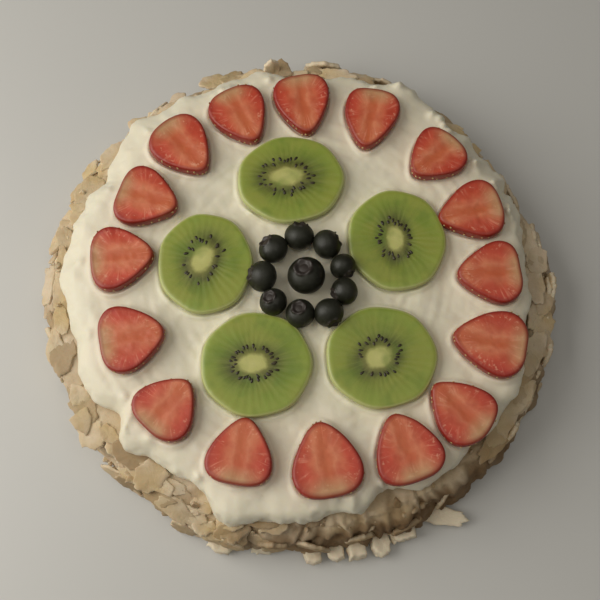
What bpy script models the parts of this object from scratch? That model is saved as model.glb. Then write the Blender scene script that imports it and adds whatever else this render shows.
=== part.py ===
"""A round fruit pavlova: a craggy meringue, a layer of whipped cream, and
rings of strawberry slices, kiwi slices and blueberries on top.

Metres, +Z up. The origin is the middle of the flat underside. Azimuths are
in degrees from +X, counter-clockwise seen from above. The named sizes are in
millimetres, and the objects are made in metres through MM.
"""

import math
import random

import bmesh
import bpy
from mathutils import Euler, Matrix, Vector

MM = 0.001
GAP = 0.3                      # clearance between neighbouring pieces
MIDDLE = (-0.96, -2.95)        # middle of the whole outline in the sizes below

# Meringue: mean outline, heights, and how it bulges round the rim as
# (azimuth, half width in degrees, amount)
CRUST_STEPS = 84
CRUST_TOP = 24.0
SHOULDER_RADIUS = 114.0
FOOT_RADIUS = 119.0
SHOULDER_LOBES = ((180, 48, 3.0), (-109, 11, 3.5), (70, 38, -2.5), (-2, 9, 2.0), (24, 20, -6.0))
FOOT_LOBES = (
    (2, 10, 4.0), (174, 12, 5.0), (85, 40, 1.5), (36, 20, -4.0), (-112, 6, 2.0), (-157, 7, -3.5),
)
LUMP_DEPTH = 1.7
LUMP_WAVES = 7
LUMP_SEED = 11

# Broken plates of meringue that stand out of the crust, in rows round it.
# Each row: count, first azimuth, sweep, mean radius of the tips, and ranges
# for the reach beyond that radius, height of the tip, length, width, tilt
# above level, sideways turn and roll
SHARD_SIDES = 7
SHARD_THICKNESS = (1.9, 2.9)
SHARD_SEED = 5
FLOOR_CLEARANCE = 0.4          # a shard's lowest point above the flat underside
CREAM_CLEARANCE = 3.0          # shards rise only this far outside the cream
SHARD_ROWS = (
    # plates that stand against the wall
    (34, 0, 360, 118.3, (-0.8, 1.6), (14, 24.5), (16, 22), (15, 23), (86, 104), (-6, 6), (-15, 15)),
    # plates that stand free of the cream at the right
    (4, -48, 66, 118.5, (0.0, 1.2), (25, 28), (19, 22), (15, 19), (86, 92), (-4, 4), (-7, 7)),
    # plates that lie on the ledge at the left
    (16, 112, 146, 121.5, (-2.0, 3.0), (16, 23), (15, 21), (14, 21), (-14, 12), (-25, 25), (-12, 12)),
    # small plates at the foot
    (26, -45, 292, 123.0, (-1.0, 3.5), (2.6, 5.0), (13, 19), (9, 15), (-2, 10), (-28, 28), (-10, 10)),
)
# How much further out the shards of the rows reach round the rim
REACH_LOBES = (
    (13, 8, -9.5), (25, 7, -3.5), (44, 10, -8.5), (88, 6, -4.5), (115, 9, -9.5), (136, 9, -5.0),
    (160, 7, -5.0), (-169, 4, 2.0), (-157, 7, -6.5), (-146, 6, -2.5), (-112, 6, 3.5), (-64, 4, -3.5),
    (-33, 8, -2.5), (-10, 7, -2.5),
)
FRONT_TIPS = (
    (-111, 129.0, 14), (-102, 125.5, 11), (-91, 128.0, 9), (-86.5, 127.5, 8), (-82, 128.0, 9),
    (-77.5, 130.5, 8), (-72, 127.5, 13),
)
# Shards that stand alone: azimuth, reach, height, length, width, tilt, turn, roll
LONE_SHARDS = (
    (-58.5, 132.5, 4.4, 30, 8.0, 4, 44, 6),
    (-160, 117.5, 13.5, 17, 12, 20, 12, -12),
    (94, 114.5, 33.0, 18, 10, 74, 0, 8),
    (-67, 117.0, 23.0, 20, 19, 58, 10, -10),
    (-79, 117.5, 20.0, 20, 18, 48, -8, 8),
)

# Cream: mean edge, heights, and the bulges and dips of its edge
CREAM_STEPS = 120
CREAM_TOP = 36.0
CREAM_RADIUS = 105.5
CREAM_LOBES = (
    (-109, 6, 10.0), (-96, 8, 5.5), (-81, 4.5, 4.0), (-73, 4, -3.0), (-60, 7, 4.5),
    (-36, 14, 4.5), (-2, 7, -3.5), (26, 8, -4.0), (58.5, 5.5, 6.5), (86, 6, -4.0),
    (146, 7, -4.5), (175, 11, 1.0), (-155, 5, 2.5), (-146, 4, -4.5), (-139, 4, 4.0),
)
# Scallops of the edge: count round the rim, depth, and turn per height
SCALLOPS = ((31, 0.7, 0.0), (17, 0.56, 0.33))

# Strawberry slices: azimuth, distance of the middle, length, width, and the
# turn of the tip away from pointing straight in
STRAWBERRY_THICKNESS = 6.5
STRAWBERRY_POINTS = 20
STRAWBERRY_TAPER = 0.42        # how much narrower the tip is than the stalk end
STRAWBERRIES = (
    (107, 82.5, 32, 28, 8), (86, 83.5, 33, 28, 9), (63, 83, 33, 27, 12), (38, 84, 28, 27, 1),
    (16, 82.9, 31, 29, -4), (-5, 85, 30, 30, 5), (-26, 90, 34, 31, 12), (-47, 93.5, 31, 28, -1),
    (-65, 92, 31, 30, -8), (-87, 86.5, 34, 31, 3), (-111, 86.6, 30, 29, 9), (-136, 85, 28, 29, 3),
    (-160, 81.5, 30, 31, -11), (173, 81.5, 30, 31, 10), (151, 79, 30, 30, 7), (129, 82, 33, 28, -3),
)

# Kiwi slices: middle, sizes along X and Y, and the turn of the peeled flats
KIWI_THICKNESS = 4.6
KIWI_POINTS = 24
KIWI_FLATS = 7
KIWIS = (
    (-2.6, 44.4, 50, 44, 10), (43.9, 11.2, 45, 49, 35), (31.9, -42.9, 49, 46, 0),
    (-22.9, -42.8, 49, 47, 20), (-43.6, 5.4, 43, 48, 5),
)

# Blueberries: middle, diameter, and where the crown leans, as a tilt from
# straight up and an azimuth
BLUEBERRY_POINTS = 15
BLUEBERRY_RINGS = 6
BLUEBERRY_SQUASH = 0.92
CROWN_RISE = 0.07              # lift of the crown's ring, as a share of the radius
CROWN_FLAPS = 5
CROWN_HOLLOW = 0.2             # depth of the hollow in the crown
BLUEBERRIES = (
    (-0.3, 14.4, 12.8, 55, 80), (11.8, 9.7, 12.8, 70, 20), (18.4, -0.9, 11.2, 80, -60),
    (18.2, -12.8, 11.8, 60, 200), (10.5, -22.2, 12.5, 75, -70), (-2.1, -21.8, 12.2, 14, 120),
    (-13.6, -15.7, 11.8, 24, 150), (-17.7, -3.8, 13.2, 65, 170), (-12.3, 9.1, 12.9, 50, 140),
    (1.7, -5.0, 16.4, 18, 130),
)


def clear_scene():
    """Empty the scene and its leftover data."""
    for item in list(bpy.data.objects):
        bpy.data.objects.remove(item, do_unlink=True)
    for collection in list(bpy.data.collections):
        bpy.data.collections.remove(collection)


def new_collection(name):
    """Add a collection to the scene."""
    collection = bpy.data.collections.new(name)
    bpy.context.scene.collection.children.link(collection)
    return collection


def make_material(name, color, roughness):
    """A plain Principled material for one kind of food."""
    material = bpy.data.materials.new(name)
    material.use_nodes = True
    shader = material.node_tree.nodes["Principled BSDF"]
    shader.inputs["Base Color"].default_value = (*color, 1.0)
    shader.inputs["Roughness"].default_value = roughness
    shader.inputs["Metallic"].default_value = 0.0
    return material


def add_object(name, mesh, collection, material=None):
    """Wrap a mesh in an object of the given collection."""
    item = bpy.data.objects.new(name, mesh)
    collection.objects.link(item)
    if material:
        mesh.materials.append(material)
    return item


def mesh_from(bm, name):
    """Turn a bmesh into a smooth-shaded mesh and free it."""
    mesh = bpy.data.meshes.new(name)
    bm.to_mesh(mesh)
    bm.free()
    mesh.shade_smooth()
    return mesh


def polar(azimuth, distance):
    """Point at a distance from the middle, in millimetres."""
    angle = math.radians(azimuth)
    return Vector((distance * math.cos(angle), distance * math.sin(angle), 0.0))


def lobes(azimuth, table):
    """Sum of smooth bumps round the rim, each amount * exp(-(gap / width)^2)."""
    total = 0.0
    for centre, width, amount in table:
        gap = (azimuth - centre + 180.0) % 360.0 - 180.0
        total += amount * math.exp(-((gap / width) ** 2))
    return total


def lump_waves():
    """Seeded waves that make the crust lumpy: turns, slope, phase and share."""
    draw = random.Random(LUMP_SEED)
    waves = []
    for order in range(LUMP_WAVES):
        turns = draw.randint(9, 17 + 3 * order)
        slope = draw.uniform(-0.35, 0.35)
        waves.append((turns, slope, draw.uniform(0.0, math.tau), draw.uniform(0.5, 1.0)))
    return waves


def lump(azimuth, height, waves):
    """Height of the crust's lumps, between about -1 and 1."""
    angle = math.radians(azimuth)
    total = sum(share * math.sin(turns * angle + slope * height + phase)
                for turns, slope, phase, share in waves)
    return total / math.sqrt(len(waves))


def turned_mesh(name, profile, steps):
    """Closed mesh turned about Z from a profile of (radius, height) in
    millimetres that runs from the top of the axis to the bottom."""
    line = bpy.data.meshes.new(name + "_profile")
    points = [(radius * MM, 0.0, height * MM) for radius, height in profile]
    line.from_pydata(points, [(i, i + 1) for i in range(len(points) - 1)], [])
    guide = bpy.data.objects.new(name + "_profile", line)
    bpy.context.scene.collection.objects.link(guide)
    screw = guide.modifiers.new("turn", "SCREW")
    screw.steps = steps
    screw.render_steps = steps
    screw.use_merge_vertices = True
    screw.merge_threshold = 0.0001
    graph = bpy.context.evaluated_depsgraph_get()
    mesh = bpy.data.meshes.new_from_object(guide.evaluated_get(graph))
    bpy.data.objects.remove(guide, do_unlink=True)
    return mesh


def reshape(mesh, move):
    """Move every vertex: move takes azimuth, radius and height in
    millimetres and gives a new radius and height."""
    for vertex in mesh.vertices:
        x, y, z = vertex.co / MM
        radius = math.hypot(x, y)
        if radius < 1.0:
            continue
        azimuth = math.degrees(math.atan2(y, x))
        new_radius, new_height = move(azimuth, radius, z)
        vertex.co = (polar(azimuth, new_radius) + Vector((0.0, 0.0, new_height))) * MM


def crust_core():
    """Body of the meringue: flat under the cream and underneath, with a
    rounded shoulder and a lumpy wall that widens to the foot."""
    profile = [
        (0.0, CRUST_TOP), (SHOULDER_RADIUS - 6.0, CRUST_TOP),
        (SHOULDER_RADIUS - 1.5, CRUST_TOP - 1.2), (SHOULDER_RADIUS + 1.0, CRUST_TOP - 4.5),
        (SHOULDER_RADIUS + 1.6, CRUST_TOP - 9.0), (FOOT_RADIUS - 1.0, 10.0),
        (FOOT_RADIUS + 1.0, 5.5), (FOOT_RADIUS, 1.5), (FOOT_RADIUS - 3.0, 0.0), (0.0, 0.0),
    ]
    waves = lump_waves()

    def move(azimuth, radius, height):
        rise = height / CRUST_TOP
        wide = rise * lobes(azimuth, SHOULDER_LOBES) + (1.0 - rise) * lobes(azimuth, FOOT_LOBES)
        wall = 1.0 if 0.0 < height < CRUST_TOP - 1.0 else 0.0
        bump = wall * LUMP_DEPTH * lump(azimuth, height, waves)
        return radius + wide + bump, height

    mesh = turned_mesh("crust", profile, CRUST_STEPS)
    reshape(mesh, move)
    return mesh


def shard_mesh(draw, length, width):
    """A thin broken flake: an uneven prism whose long way is X, bent a
    little, with its tip at the origin and its root at -X."""
    bm = bmesh.new()
    bmesh.ops.create_cone(bm, cap_ends=True, segments=SHARD_SIDES, radius1=1.0,
                          radius2=0.86, depth=1.0)
    reach = [draw.uniform(0.74, 1.14) for _ in range(SHARD_SIDES)]
    thickness = draw.uniform(*SHARD_THICKNESS)
    bend = draw.uniform(-0.9, 0.9)
    for vertex in bm.verts:
        turn = math.atan2(vertex.co.y, vertex.co.x) / math.tau
        factor = reach[round(turn * SHARD_SIDES) % SHARD_SIDES]
        x = vertex.co.x * factor * 0.5
        y = vertex.co.y * factor * 0.5
        lift = bend * (1.0 - 4.0 * y * y)
        vertex.co = Vector(((x - 0.5) * length, y * width, vertex.co.z * thickness + lift)) * MM
    return mesh_from(bm, "shard")


def place_shard(mesh, azimuth, reach, height, tilt, turn, roll):
    """Point a shard outwards from the crust with its tip at the given reach
    and height, raised by tilt, swung sideways by turn, rolled by roll."""
    swing = Matrix.Rotation(math.radians(azimuth + turn), 4, "Z")
    raised = Matrix.Rotation(math.radians(-tilt), 4, "Y")
    rolled = Matrix.Rotation(math.radians(roll), 4, "X")
    mesh.transform(swing @ raised @ rolled)
    lowest = min(vertex.co.z for vertex in mesh.vertices) / MM
    spot = polar(azimuth, reach) + Vector((0.0, 0.0, max(height, FLOOR_CLEARANCE - lowest)))
    mesh.transform(Matrix.Translation(spot * MM))


def press_under_cream(mesh):
    """Flatten what lies under the cream or close beside it to the level of
    the crust's top."""
    for vertex in mesh.vertices:
        radius = math.hypot(vertex.co.x, vertex.co.y) / MM
        azimuth = math.degrees(math.atan2(vertex.co.y, vertex.co.x))
        if radius < CREAM_RADIUS + lobes(azimuth, CREAM_LOBES) + CREAM_CLEARANCE:
            vertex.co.z = min(vertex.co.z, (CRUST_TOP - 0.1) * MM)


def shard_places(draw):
    """Every shard as (azimuth, reach, height, length, width, tilt, turn,
    roll): the rows with seeded draws, the pale tips in front, and the
    shards that stand alone."""
    places = []
    for count, start, sweep, radius, *ranges in SHARD_ROWS:
        for index in range(count):
            azimuth = start + sweep * (index + draw.uniform(0.15, 0.85)) / count
            beyond, height, length, width, tilt, turn, roll = (draw.uniform(*pair) for pair in ranges)
            reach = radius + beyond + lobes(azimuth, REACH_LOBES)
            places.append((azimuth, reach, height, length, width, tilt, turn, roll))
    for azimuth, reach, width in FRONT_TIPS:
        places.append((azimuth, reach, 2.8, 16, width, draw.uniform(0, 4), draw.uniform(-10, 10), 0))
    places.extend(LONE_SHARDS)
    return places


def build_crust(collection, material):
    """Join the core and its shards into one solid with a single union."""
    core = add_object("crust", crust_core(), collection, material)
    shards = new_collection("crust_shards")
    draw = random.Random(SHARD_SEED)
    for azimuth, reach, height, length, width, tilt, turn, roll in shard_places(draw):
        mesh = shard_mesh(draw, length, width)
        place_shard(mesh, azimuth, reach, height, tilt, turn, roll)
        press_under_cream(mesh)
        add_object("shard", mesh, shards)
    union = core.modifiers.new("fuse_shards", "BOOLEAN")
    union.operation = "UNION"
    union.operand_type = "COLLECTION"
    union.collection = shards
    union.solver = "EXACT"
    union.use_self = True
    bpy.context.view_layer.update()
    graph = bpy.context.evaluated_depsgraph_get()
    fused = bpy.data.meshes.new_from_object(core.evaluated_get(graph))
    core.modifiers.clear()
    core.data = fused
    for item in list(shards.objects):
        bpy.data.objects.remove(item, do_unlink=True)
    bpy.data.collections.remove(shards)
    drop_scraps(fused)
    return core


def drop_scraps(mesh):
    """Keep the largest connected body of the fused crust and merge slivers."""
    bm = bmesh.new()
    bm.from_mesh(mesh)
    bmesh.ops.remove_doubles(bm, verts=bm.verts, dist=0.00002)
    bmesh.ops.triangulate(bm, faces=bm.faces)
    left = set(bm.verts)
    bodies = []
    while left:
        front = [left.pop()]
        body = set(front)
        while front:
            for edge in front.pop().link_edges:
                for vertex in edge.verts:
                    if vertex in left:
                        left.discard(vertex)
                        body.add(vertex)
                        front.append(vertex)
        bodies.append(body)
    bodies.sort(key=len)
    for body in bodies[:-1]:
        bmesh.ops.delete(bm, geom=list(body), context="VERTS")
    bm.to_mesh(mesh)
    bm.free()


def build_cream(collection, material):
    """Spread cream: flat under the fruit, with a rounded, scalloped edge
    that bulges over the crust where the spatula left it."""
    inset_and_height = (
        (10.0, CREAM_TOP), (5.0, CREAM_TOP - 0.6), (2.2, CREAM_TOP - 2.1), (0.6, CREAM_TOP - 4.7),
        (0.0, CREAM_TOP - 8.0), (0.8, CREAM_TOP - 10.4), (2.5, CRUST_TOP + GAP),
    )
    profile = [(0.0, CREAM_TOP)]
    profile += [(CREAM_RADIUS - inset, height) for inset, height in inset_and_height]
    profile += [(0.0, CRUST_TOP + GAP)]

    def move(azimuth, radius, height):
        angle = math.radians(azimuth)
        scallop = sum(depth * math.sin(count * angle + turn * height)
                      for count, depth, turn in SCALLOPS)
        return radius + lobes(azimuth, CREAM_LOBES) + scallop, height

    mesh = turned_mesh("cream", profile, CREAM_STEPS)
    reshape(mesh, move)
    mesh.shade_smooth()
    return add_object("cream", mesh, collection, material)


def flat_slice(name, points, thickness, outline):
    """A slice with a rounded edge: a sphere of three rings, whose rings
    become the upper edge, the middle and the lower edge of an outline.
    outline takes the turn round the slice and gives x and y."""
    bm = bmesh.new()
    bmesh.ops.create_uvsphere(bm, u_segments=points, v_segments=4, radius=1.0)
    for vertex in bm.verts:
        turn = math.atan2(vertex.co.y, vertex.co.x)
        level = vertex.co.z
        x, y = outline(turn)
        if abs(level) > 0.99:
            share, rise = 0.0, math.copysign(0.5, level)
        elif abs(level) > 0.3:
            share, rise = (0.955 if level > 0.0 else 0.93), math.copysign(0.5, level)
        else:
            share, rise = 1.0, 0.04
        vertex.co = Vector((x * share, y * share, (rise + 0.5) * thickness)) * MM
    return mesh_from(bm, name)


def strawberry_outline(length, width, notch):
    """Egg with a pointed tip at +X and shoulders at the stalk end:
    x = L/2 cos t, y = W/2 sin t (1 - taper cos t), with a soft notch."""
    def outline(turn):
        x = 0.5 * length * math.cos(turn)
        y = 0.5 * width * math.sin(turn) * (1.0 - STRAWBERRY_TAPER * math.cos(turn)) / 1.09
        away = (math.pi - abs(turn)) / 0.45
        return x + notch * math.exp(-away * away), y
    return outline


def kiwi_outline(size_x, size_y, flats_turn):
    """Ellipse whose edge is slightly flattened where the peel was cut."""
    def outline(turn):
        ripple = 1.0 + 0.012 * math.cos(KIWI_FLATS * turn + math.radians(flats_turn))
        return 0.5 * size_x * ripple * math.cos(turn), 0.5 * size_y * ripple * math.sin(turn)
    return outline


def build_strawberries(collection, material):
    """Ring of sixteen slices with their tips towards the middle."""
    for number, (azimuth, distance, length, width, turn) in enumerate(STRAWBERRIES, 1):
        notch = 0.6 + 0.25 * (number % 4)
        name = f"strawberry_slice_{number:02d}"
        outline = strawberry_outline(length, width, notch)
        mesh = flat_slice(name, STRAWBERRY_POINTS, STRAWBERRY_THICKNESS, outline)
        item = add_object(name, mesh, collection, material)
        item.location = (polar(azimuth, distance) + Vector((0.0, 0.0, CREAM_TOP + GAP))) * MM
        item.rotation_euler = Euler((0.0, 0.0, math.radians(azimuth + 180.0 + turn)))


def build_kiwis(collection, material):
    """Ring of five round slices."""
    for number, (x, y, size_x, size_y, flats_turn) in enumerate(KIWIS, 1):
        name = f"kiwi_slice_{number}"
        outline = kiwi_outline(size_x, size_y, flats_turn)
        mesh = flat_slice(name, KIWI_POINTS, KIWI_THICKNESS, outline)
        item = add_object(name, mesh, collection, material)
        item.location = Vector((x, y, CREAM_TOP + GAP)) * MM


def blueberry_mesh(name, diameter, tilt, lean):
    """Slightly flattened ball with a five-lobed crown round a small hollow,
    turned so that the crown leans, and standing on z = 0."""
    radius = 0.5 * diameter
    crown_level = math.cos(math.pi / BLUEBERRY_RINGS) - 0.01
    bm = bmesh.new()
    bmesh.ops.create_uvsphere(bm, u_segments=BLUEBERRY_POINTS, v_segments=BLUEBERRY_RINGS, radius=1.0)
    for vertex in bm.verts:
        x, y, z = vertex.co
        if z > 0.99:
            z -= CROWN_HOLLOW
        elif z > crown_level:
            z += CROWN_RISE * (1.0 + 0.7 * math.cos(CROWN_FLAPS * math.atan2(y, x)))
            x *= 0.86
            y *= 0.86
        vertex.co = Vector((x, y, z * BLUEBERRY_SQUASH)) * radius * MM
    lean_axis = Vector((-math.sin(math.radians(lean)), math.cos(math.radians(lean)), 0.0))
    bmesh.ops.rotate(bm, verts=bm.verts, matrix=Matrix.Rotation(math.radians(tilt), 3, lean_axis))
    lowest = min(vertex.co.z for vertex in bm.verts)
    bmesh.ops.translate(bm, verts=bm.verts, vec=Vector((0.0, 0.0, -lowest)))
    return mesh_from(bm, name)


def build_blueberries(collection, material):
    """Nine berries in a ring round a larger one."""
    for number, (x, y, diameter, tilt, lean) in enumerate(BLUEBERRIES, 1):
        name = f"blueberry_{number:02d}"
        item = add_object(name, blueberry_mesh(name, diameter, tilt, lean), collection, material)
        item.location = Vector((x, y, CREAM_TOP + GAP)) * MM


def main():
    """Build the pavlova, with the middle of its outline over the origin."""
    clear_scene()
    pavlova = new_collection("pavlova")
    build_crust(pavlova, make_material("meringue_crust", (0.72, 0.56, 0.38), 0.8))
    build_cream(pavlova, make_material("whipped_cream", (0.86, 0.82, 0.68), 0.5))
    build_strawberries(pavlova, make_material("strawberry_flesh", (0.62, 0.10, 0.07), 0.35))
    build_kiwis(pavlova, make_material("kiwi_flesh", (0.28, 0.36, 0.06), 0.3))
    build_blueberries(pavlova, make_material("blueberry_skin", (0.02, 0.02, 0.035), 0.45))
    for item in pavlova.objects:
        item.location -= Vector((*MIDDLE, 0.0)) * MM


main()
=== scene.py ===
"""The dressed pavlova: craggy meringue, spread cream, strawberry slices, kiwi
slices and blueberries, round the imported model.

Sizes are in millimetres and become metres through MM. They are measured
from the middle of the cream, which lies MIDDLE away from the origin: the
frame has the middle of the whole outline over the origin. Azimuths are in
degrees from +X, counter-clockwise seen from above.
"""

import itertools
import math
import random

import bpy
import numpy as np
from mathutils import Matrix, Vector


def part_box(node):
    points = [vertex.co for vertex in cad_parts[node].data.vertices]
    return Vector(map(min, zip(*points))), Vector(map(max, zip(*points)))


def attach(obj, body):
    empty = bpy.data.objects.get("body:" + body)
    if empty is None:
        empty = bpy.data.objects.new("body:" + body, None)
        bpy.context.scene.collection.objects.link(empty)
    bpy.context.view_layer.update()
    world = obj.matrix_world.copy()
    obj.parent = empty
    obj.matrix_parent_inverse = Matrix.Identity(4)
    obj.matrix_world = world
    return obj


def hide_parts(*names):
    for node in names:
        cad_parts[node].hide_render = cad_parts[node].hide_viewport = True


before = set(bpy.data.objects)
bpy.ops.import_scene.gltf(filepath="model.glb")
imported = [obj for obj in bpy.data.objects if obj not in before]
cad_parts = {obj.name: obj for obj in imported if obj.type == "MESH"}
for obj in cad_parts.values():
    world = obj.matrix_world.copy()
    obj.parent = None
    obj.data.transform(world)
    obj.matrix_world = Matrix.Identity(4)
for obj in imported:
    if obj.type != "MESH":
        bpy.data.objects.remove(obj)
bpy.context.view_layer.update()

MM = 0.001
MIDDLE = np.array([-0.96, -2.95, 0.0])
BODY = "root"

# Camera of the photograph: place, aim, roll in degrees and lens
CAMERA_PLACE = (-12.4, -131.2, 409.5)
CAMERA_AIM = (-0.6, -2.3, 0.0)
CAMERA_ROLL = -3.83
CAMERA_LENS = 52.24

# Heights shared by the layers
CRUST_TOP = 24.0
CREAM_TOP = 36.0
GAP = 0.3

# Meringue outline; each lobe is azimuth, half width in degrees and amount
SHOULDER_RADIUS = 114.0
FOOT_RADIUS = 119.0
SHOULDER_LOBES = ((180, 48, 3.0), (-109, 11, 3.5), (70, 38, -2.5), (-2, 9, 2.0), (24, 20, -6.0))
FOOT_LOBES = (
    (2, 10, 4.0), (174, 12, 5.0), (85, 40, 1.5), (36, 20, -4.0), (-112, 6, 2.0), (-157, 7, -3.5),
)
LUMP_DEPTH = 1.7
LUMP_WAVES = 7
LUMP_SEED = 11

# Broken plates of meringue, the same rows and draws as the solid's
SHARD_SIDES = 7
SHARD_THICKNESS = (1.9, 2.9)
SHARD_SEED = 5
FLOOR_CLEARANCE = 0.4
# How far outside the cream's foot the plates start to rise freely
CREAM_CLEARANCE = 5.5
# Rows of shards: count, first azimuth, sweep and radius, then the ranges of
# how far beyond the radius they reach and of their height, length, width,
# tilt, turn and roll
SHARD_ROWS = (
    (34, 0, 360, 118.3, (-0.8, 1.6), (14, 24.5), (16, 22), (15, 23), (86, 104), (-6, 6), (-15, 15)),
    (4, -48, 66, 118.5, (0.0, 1.2), (25, 28), (19, 22), (15, 19), (86, 92), (-4, 4), (-7, 7)),
    (16, 112, 146, 121.5, (-2.0, 3.0), (16, 23), (15, 21), (14, 21), (-14, 12), (-25, 25), (-12, 12)),
    (26, -45, 292, 123.0, (-1.0, 3.5), (2.6, 5.0), (13, 19), (9, 15), (-2, 10), (-28, 28), (-10, 10)),
)
# How much further out the shards of the rows reach round the rim
REACH_LOBES = (
    (13, 8, -9.5), (25, 7, -3.5), (44, 10, -8.5), (88, 6, -4.5), (115, 9, -9.5), (136, 9, -5.0),
    (160, 7, -5.0), (-169, 4, 2.0), (-157, 7, -6.5), (-146, 6, -2.5), (-112, 6, 3.5), (-64, 4, -3.5),
    (-33, 8, -2.5), (-10, 7, -2.5),
)
# Tips at the near foot: their height and length, then azimuth, reach and
# width of each
TIP_HEIGHT = 2.8
TIP_LENGTH = 16
FRONT_TIPS = (
    (-111, 129.0, 14), (-102, 125.5, 11), (-91, 128.0, 9), (-86.5, 127.5, 8), (-82, 128.0, 9),
    (-77.5, 130.5, 8), (-72, 127.5, 13),
)
# Shards placed one by one: azimuth, reach, height, length, width, tilt, turn
# and roll
LONE_SHARDS = (
    (-58.5, 132.5, 4.4, 30, 8.0, 4, 44, 6),
    (-160, 117.5, 13.5, 17, 12, 20, 12, -12),
    (94, 114.5, 33.0, 18, 10, 74, 0, 8),
    (-67, 117.0, 23.0, 20, 19, 58, 10, -10),
    (-79, 117.5, 20.0, 20, 18, 48, -8, 8),
)
# Blocks pale all over with painted light: how far the corners stand out
BLOCK_CORNERS = np.array([0.94, 1.10, 0.92, 1.06, 0.98, 1.12, 0.88, 1.10])
# Shards that reach this far out get painted light, pale all over, and the furthest is oval
PALE_REACH = 125.4
LONG_REACH = 131.0
# Tone of a plate that is painted pale all over, as painted light on tips that stick out
LIT_TONE = -1.0
# Rows of a plate's mesh: share of the way out, and level in its thickness
PLATE_ROWS = (
    (0.4, 0.5), (0.76, 0.5), (0.90, 0.46), (0.965, 0.34), (0.995, 0.12), (1.0, -0.16),
    (0.975, -0.43), (0.90, -0.49), (0.5, -0.5),
)

# Rows of flakes: count, first azimuth, sweep, and the first and last of the
# profile's points where their upper ends lie
PROFILE_POINTS = 60
FLAKE_ROWS = (
    (30, 96, 168, 5, 12), (26, 98, 164, 15, 26), (30, 95, 172, 28, 42), (14, 35, 62, 8, 18),
    (12, 35, 62, 26, 40), (22, -42, 80, 24, 44), (14, -128, 22, 12, 46), (26, -48, 92, 7, 16),
)
FLAKE_SEED = 17
# The flakes' numbers start above those of the plates
FIRST_FLAKE = 300
CRUMB_COUNT = 420
CRUMB_SIDES = 5
CRUMB_SEED = 21
# Where flakes and crumbs stay further in
NOTCHES = ((161, 4, 3.5), (-171, 3, 2.5), (13, 5, 3.0), (117, 5, 2.0), (33, 7, 1.5))
# Where the near wall of the body is painted with shade in a brown colour, where plates are paler, and where
# plates get painted shade in a brown colour
SHADED_WALL_SIDE = ((-72, 38, 1.0), (-20, 30, 0.5))
PALE_SIDE = ((136, 36, 0.8), (-22, 26, 0.6))
SHADED_PLATE_SIDE = ((-76, 30, 1.0), (-20, 30, 0.12))
# Depth of the folds of the near wall that is painted with shade, its bulge, and the groove at the cream
FOLD_DEPTH = 1.7
WALL_BULGE = 2.4
GROOVE_DEPTH = 3.2

# Cream: radius of its edge and how far in its foot stands
CREAM_RADIUS = 105.5
CREAM_FOOT_INSET = 2.5
CREAM_LOBES = (
    (-109, 6, 10.0), (-96, 8, 5.5), (-81, 4.5, 4.0), (-73, 4, -3.0), (-60, 7, 4.5),
    (-36, 14, 4.5), (-2, 7, -3.5), (26, 8, -4.0), (58.5, 5.5, 6.5), (86, 6, -4.0),
    (146, 7, -4.5), (175, 11, 1.0), (-155, 5, 2.5), (-146, 4, -4.5), (-139, 4, 4.0),
)
# How far the edge hangs down, and how far the foot is smeared outwards
CREAM_DROOP = ((-109, 8, 4.0), (-94, 7, 2.0), (-58, 9, 1.5), (-139, 5, 1.5))
CREAM_SMEAR = (
    (138, 22, 7.0), (174, 12, 5.0), (102, 12, 3.8), (-158, 12, 3.0), (-138, 8, 1.5), (25, 13, 5.5),
    (-2, 8, 2.0),
)
# Stretches where the cream's edge is rougher
CREAM_CRAGS = ((20, 11, 1.3), (50, 18, 0.7), (-92, 26, 0.6))
# Sides where a groove opens between the cream and the wall
OPEN_GROOVE = ((-28, 24, 1.0), (14, 18, 0.8))
# Waves of the edge: count, depth and turn with height
SCALLOPS = ((31, 0.7, 0.0), (17, 0.56, 0.33))
# Tufts along the edge: as many on the rough side as on the rest
TUFT_COUNT = 34
TUFT_SEED = 8

# Beds pressed into the cream by strawberry, kiwi and blueberry: how far the
# flat bed reaches out, the width of its edge, and the height, distance and
# width of the lip round it
STRAWBERRY_BED = (0.6, 2.2, 1.0, 0.9, 1.1)
KIWI_BED = (0.6, 2.2, 0.8, 0.9, 1.0)
BLUEBERRY_BED = (0.4, 1.5, 1.1, 0.7, 1.0)
FRUIT_LEVEL = CREAM_TOP + GAP

STRAWBERRY_THICKNESS = 6.5
# Seeds round each slice, their draws, and half the turn in radians that has
# none at the stalk end
STRAWBERRY_SEEDS = 26
STRAWBERRY_DRAWS = 91
STALK_ANGLE = 0.35
# Strawberry slices: azimuth, distance of the middle, length, width, turn
STRAWBERRIES = (
    (107, 82.5, 32, 28, 8), (86, 83.5, 33, 28, 9), (63, 83, 33, 27, 12), (38, 84, 28, 27, 1),
    (16, 82.9, 31, 29, -4), (-5, 85, 30, 30, 5), (-26, 90, 34, 31, 12), (-47, 93.5, 31, 28, -1),
    (-65, 92, 31, 30, -8), (-87, 86.5, 34, 31, 3), (-111, 86.6, 30, 29, 9), (-136, 85, 28, 29, 3),
    (-160, 81.5, 30, 31, -11), (173, 81.5, 30, 31, 10), (151, 79, 30, 30, 7), (129, 82, 33, 28, -3),
)

KIWI_THICKNESS = 4.6
KIWI_FLATS = 7
KIWI_RIBS = 34.0
# Kiwi slices: turn of the peeled flats, then the core's place from the
# middle, its half length and half width, and the azimuth of its long way
KIWI_CORES = (
    (10, -2.0, 0.9, 8.2, 4.9, 0), (35, -0.9, 0.0, 6.6, 4.1, 88), (0, -1.5, -0.4, 6.4, 4.9, 20),
    (20, -1.5, 0.0, 6.9, 4.6, 5), (5, -1.1, 1.4, 7.2, 4.7, 66),
)
# Places for seeds round each core, their draws, the share that stays empty
# and how far the ring of seeds is spread
KIWI_SEEDS = 36
KIWI_DRAWS = 77
KIWI_EMPTY = 0.22
KIWI_SPREAD = 0.9016

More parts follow.
